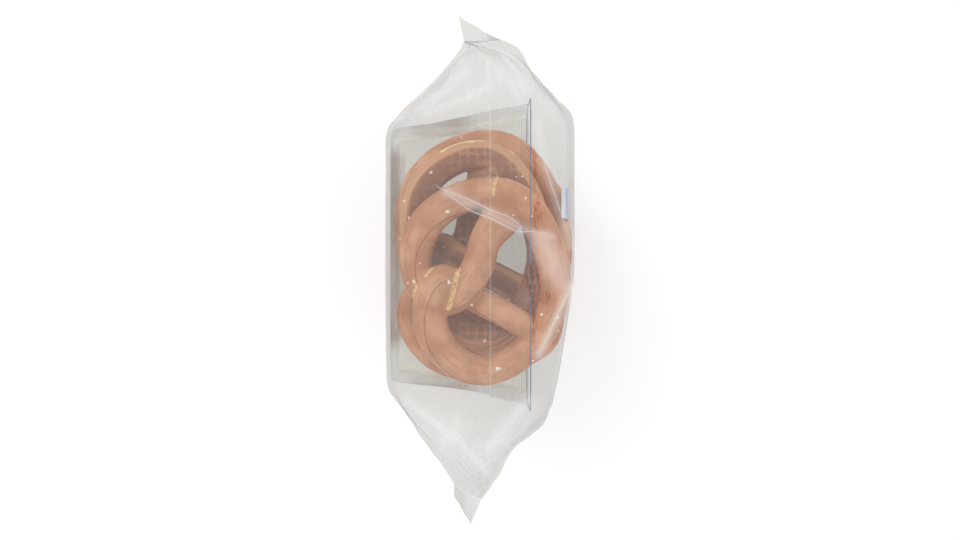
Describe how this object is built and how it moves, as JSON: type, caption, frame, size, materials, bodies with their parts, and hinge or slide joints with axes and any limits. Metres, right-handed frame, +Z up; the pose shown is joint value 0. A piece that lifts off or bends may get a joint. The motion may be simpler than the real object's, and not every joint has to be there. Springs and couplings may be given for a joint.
{
  "type": "pack of soft pretzels",
  "caption": "Soft pretzels standing in a clear tray inside a sealed clear film pack with wedge ends and crimped seals, lying on its side.",
  "frame": {"origin": "centre of the footprint on the surface that the pack lies on", "axes": "+Y along the pack from seal to seal, +X from the tray's base to its open side, +Z up to the shown face"},
  "size_m": [0.113, 0.307, 0.1],
  "materials": {
    "film": "clear glossy packaging film",
    "tray": "clear thermoformed sheet, faintly blue",
    "label": "plain printed colour field on the film",
    "crust": "lye-dipped baked crust, brown and satin",
    "salt": "coarse salt grains"
  },
  "bodies": {
    "root": {"pretzel_pack": "film"}
  },
  "joints": []
}
